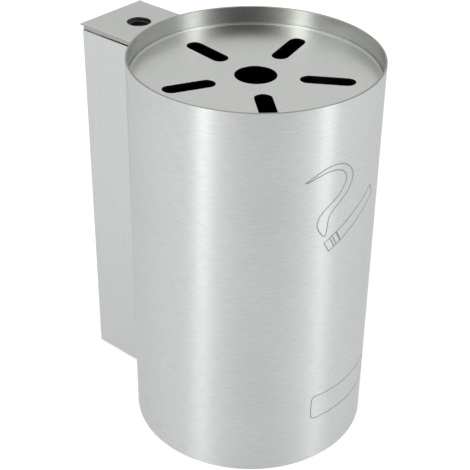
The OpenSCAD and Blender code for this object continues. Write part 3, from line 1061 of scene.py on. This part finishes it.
HARDWARE = (
    # (piece, node, body, slot, material, bevel in mm)
    ("rail_hat", "wall_rail", "wall_rail", "sheet_steel", FOLDED, 0.3),
    ("rail_pads", "shelf_pads", "wall_rail", "pad_rubber", RUBBER, 0.15),
    ("lock_bracket", "lock_plate", "bin", "sheet_steel", FOLDED, 0.3),
    ("barrel_washer", "lock_washer", "bin", "fastener_steel", ZINC, 0.12),
    ("barrel_nut", "lock_nut", "bin", "fastener_steel", ZINC, 0.3),
    ("lock_spindle", "lock_core", "lock_core", "lock_zinc", CASTING, 0.15),
    ("cam_tongue", "lock_cam", "lock_core", "fastener_steel", ZINC, 0.25),
    ("screw_washer", "cam_washer", "lock_core", "fastener_steel", ZINC, 0.12),
    ("spindle_screw", "cam_screw", "lock_core", "fastener_steel", ZINC, 0.15),
)
for piece_name, node_name, body_name, slot_name, finish, bevel in HARDWARE:
    bevelled_copy(piece_name, node_name, body_name, slot_name, finish, bevel * MM)

# %% [markdown]
# ## The etched sign
# A sign for smokers is etched into the tube's front: a cigarette with a curl of smoke. The
# etched line is half a millimetre wide and matt, so it looks darker than the brushed steel.
# Each line is drawn on the unrolled tube, in millimetres from the front centre line and
# from the rim, and then a thin strip follows it round the tube. Curves pass smoothly
# through a few chosen points.

# %% Etched lines
ETCH_WIDTH = 0.5 * MM
ETCH_PROUD = 0.03 * MM
ETCH_SUNK = 0.05 * MM
ETCH_STEP = 1.0 * MM
STRIP_CORNERS = ((-1, -ETCH_SUNK), (-1, ETCH_PROUD), (1, ETCH_PROUD), (1, -ETCH_SUNK))
KEENEST_CORNER = 0.5  # keeps the strip from flying off at a keen corner
CURVE_STEPS = 10


def curve_through(points):
    """A smooth closed line through a few points (Catmull-Rom)."""
    count = len(points)
    line = []
    for i in range(count):
        p0, p1, p2, p3 = (Vector(points[(i + k) % count]) for k in (-1, 0, 1, 2))
        for k in range(CURVE_STEPS):
            t = k / CURVE_STEPS
            line.append(0.5 * (2 * p1 + (p2 - p0) * t + (2 * p0 - 5 * p1 + 4 * p2 - p3) * t ** 2
                               + (3 * p1 - p0 - 3 * p2 + p3) * t ** 3))
    return line


def etched(lines, name, closed=True):
    """Thin strips on the tube along lines of (arc from the front, height over the rim) in mm."""
    points, grain, faces = [], [], []
    for line in lines:
        line = [Vector(p) * MM for p in line]
        pairs = list(zip(line, line[1:] + line[:1]))
        line = [a.lerp(b, k / parts) for a, b in (pairs if closed else pairs[:-1])
                for parts in [math.ceil((b - a).length / ETCH_STEP)] for k in range(parts)]
        line += [] if closed else [pairs[-1][0]]
        count, start = len(line), len(points)
        for i, point in enumerate(line):
            before = point - line[i - 1] if closed or i else line[1] - point
            after = line[(i + 1) % count] - point if closed or i < count - 1 else before
            side = (before.normalized() + after.normalized()).normalized().orthogonal()
            share = 1 / max(KEENEST_CORNER, side.dot(after.normalized().orthogonal()))
            for way, proud in STRIP_CORNERS:
                arc, height = point + side * way * share * ETCH_WIDTH / 2
                turn, radius = arc / TUBE_R, TUBE_R + proud
                x, y = radius * math.sin(turn), AXIS_Y - radius * math.cos(turn)
                points.append((x, y, RIM + height))
                grain.append((arc, height))
        for i in range(count if closed else count - 1):
            for k in range(4):
                a, b = start + 4 * i, start + 4 * ((i + 1) % count)
                faces.append((a + k, a + (k + 1) % 4, b + (k + 1) % 4, b + k))
        if not closed:
            last = start + 4 * (count - 1)
            faces += [tuple(range(start, start + 4)), tuple(range(last, last + 4))]
    piece = make_piece(name, points, grain, faces, [ETCHED])
    settle(piece, "bin", "brushed_steel")


print("etched lines are", round(ETCH_WIDTH / MM, 1), "mm wide")

# %% [markdown]
# The cigarette is a long slanted rectangle with bands at its burning end, which points
# down. The smoke is one closed outline that rises from there and curls over to the left.
# All its sizes are in millimetres.

# %% Cigarette and smoke
CIGARETTE_FOOT = Vector((-17.1, -72.0))
CIGARETTE_TURN = math.radians(28.4)
CIGARETTE_LENGTH, CIGARETTE_WIDTH = 36.8, 6.2
EMBER_BANDS = (3.5, 5.0, 7.5, 7.9)
along = Vector((math.cos(CIGARETTE_TURN), math.sin(CIGARETTE_TURN)))
across = along.orthogonal() * CIGARETTE_WIDTH / 2


def cigarette_line(distance):
    """The two ends of a line across the cigarette."""
    return [CIGARETTE_FOOT + along * distance - across, CIGARETTE_FOOT + along * distance + across]


cigarette = cigarette_line(0) + cigarette_line(CIGARETTE_LENGTH)[::-1]
smoke = curve_through([
    (-18.2, -65.6), (-16.0, -55.0), (-6.5, -46.5), (-3.0, -38.5), (-8.5, -31.5),
    (-18.0, -30.2), (-28.5, -34.9), (-28.4, -35.5), (-18.5, -32.6), (-10.5, -34.0),
    (-7.4, -39.2), (-11.5, -46.0), (-20.5, -53.0), (-22.8, -59.5),
])
etched([cigarette, smoke], "etched_sign")
etched([cigarette_line(distance) for distance in EMBER_BANDS], "etched_bands", closed=False)

# %% [markdown]
# Makers put a name low on the front. This one keeps the place and leaves it blank: an
# etched frame with round corners, in millimetres again.

# %% Blank etched frame
FRAME_HALF = Vector((23.5, 7.0))
FRAME_MIDDLE = Vector((3.2, -166.5))
FRAME_CORNER = 2.5
frame_corners = [(sx * FRAME_HALF.x, sy * FRAME_HALF.y, FRAME_CORNER)
                 for sx, sy in ((-1, -1), (1, -1), (1, 1), (-1, 1))]
etched([[FRAME_MIDDLE + point for point in rounded(frame_corners)]], "etched_frame")
